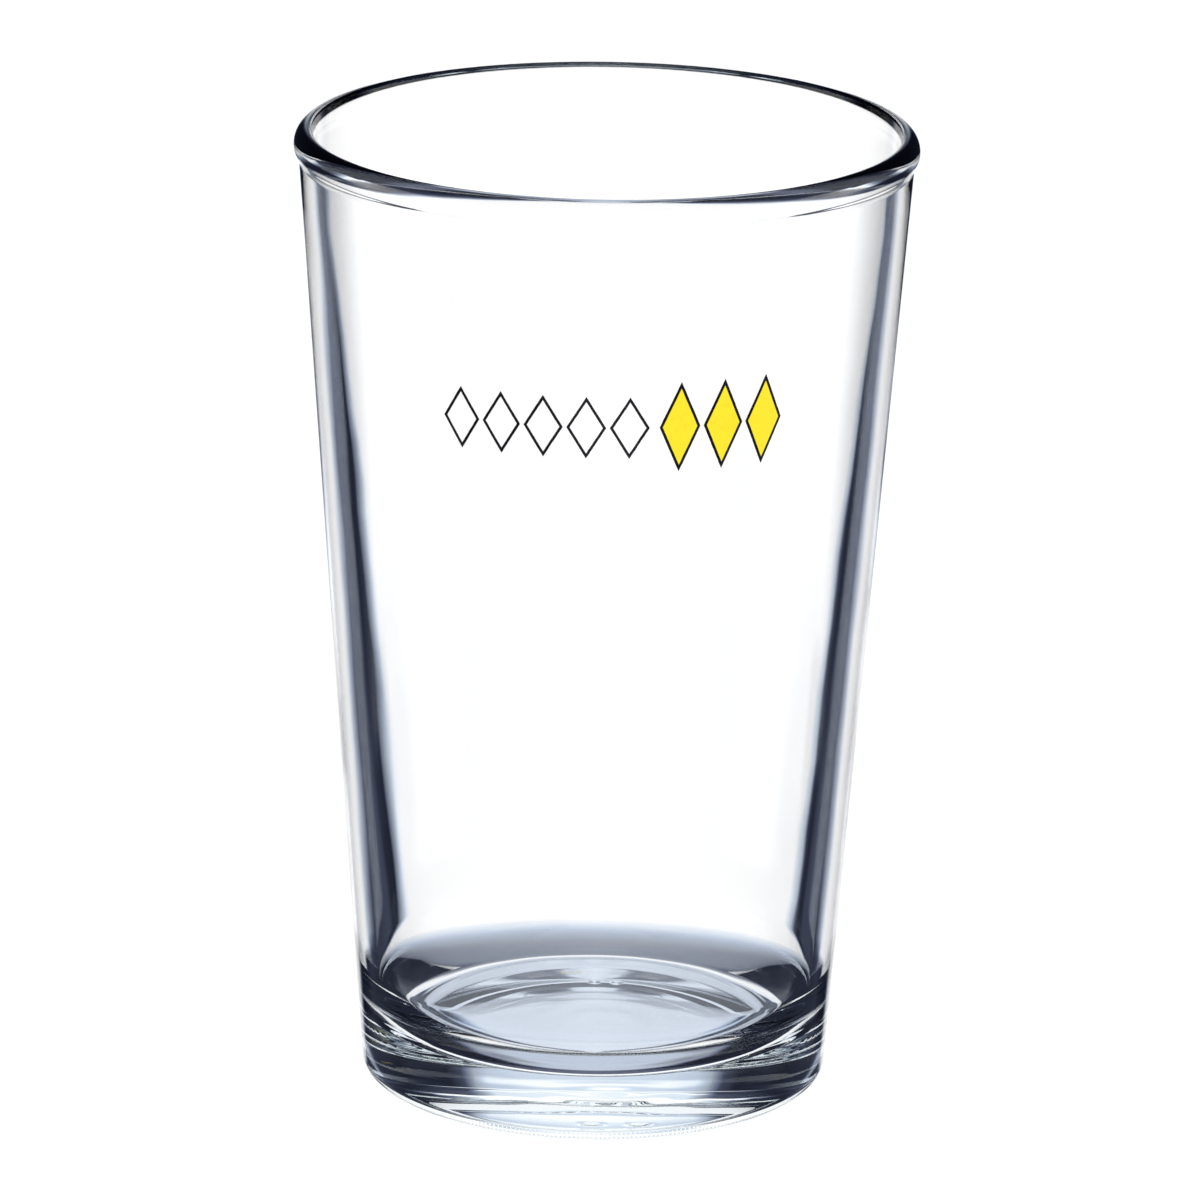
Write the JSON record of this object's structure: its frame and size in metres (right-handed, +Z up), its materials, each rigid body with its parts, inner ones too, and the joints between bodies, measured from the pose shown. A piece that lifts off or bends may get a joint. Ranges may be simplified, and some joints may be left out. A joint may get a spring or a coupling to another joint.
{
  "type": "pint glass",
  "caption": "Straight-sided conical pint tumbler in clear glass with a beaded rim, a thick base with a punt, and a black and yellow lozenge print.",
  "frame": {"origin": "centre of the resting plane, on the glass's axis", "axes": "+Z up along the axis to the mouth, -Y towards the printed front, +X to the right of someone who faces the print"},
  "size_m": [0.0898, 0.0898, 0.142],
  "materials": {
    "glass": "clear fire-polished soda-lime glass, faint grey-green in the thick base",
    "black_enamel": "thin fired ceramic ink, satin gloss",
    "yellow_enamel": "thin fired ceramic ink, satin gloss"
  },
  "bodies": {
    "root": {"glass_body": "glass", "open_lozenge_1": "black_enamel", "open_lozenge_2": "black_enamel", "open_lozenge_3": "black_enamel", "open_lozenge_4": "black_enamel", "open_lozenge_5": "black_enamel", "lozenge_border_1": "black_enamel", "lozenge_border_2": "black_enamel", "lozenge_border_3": "black_enamel", "lozenge_fill_1": "yellow_enamel", "lozenge_fill_2": "yellow_enamel", "lozenge_fill_3": "yellow_enamel"}
  },
  "joints": []
}
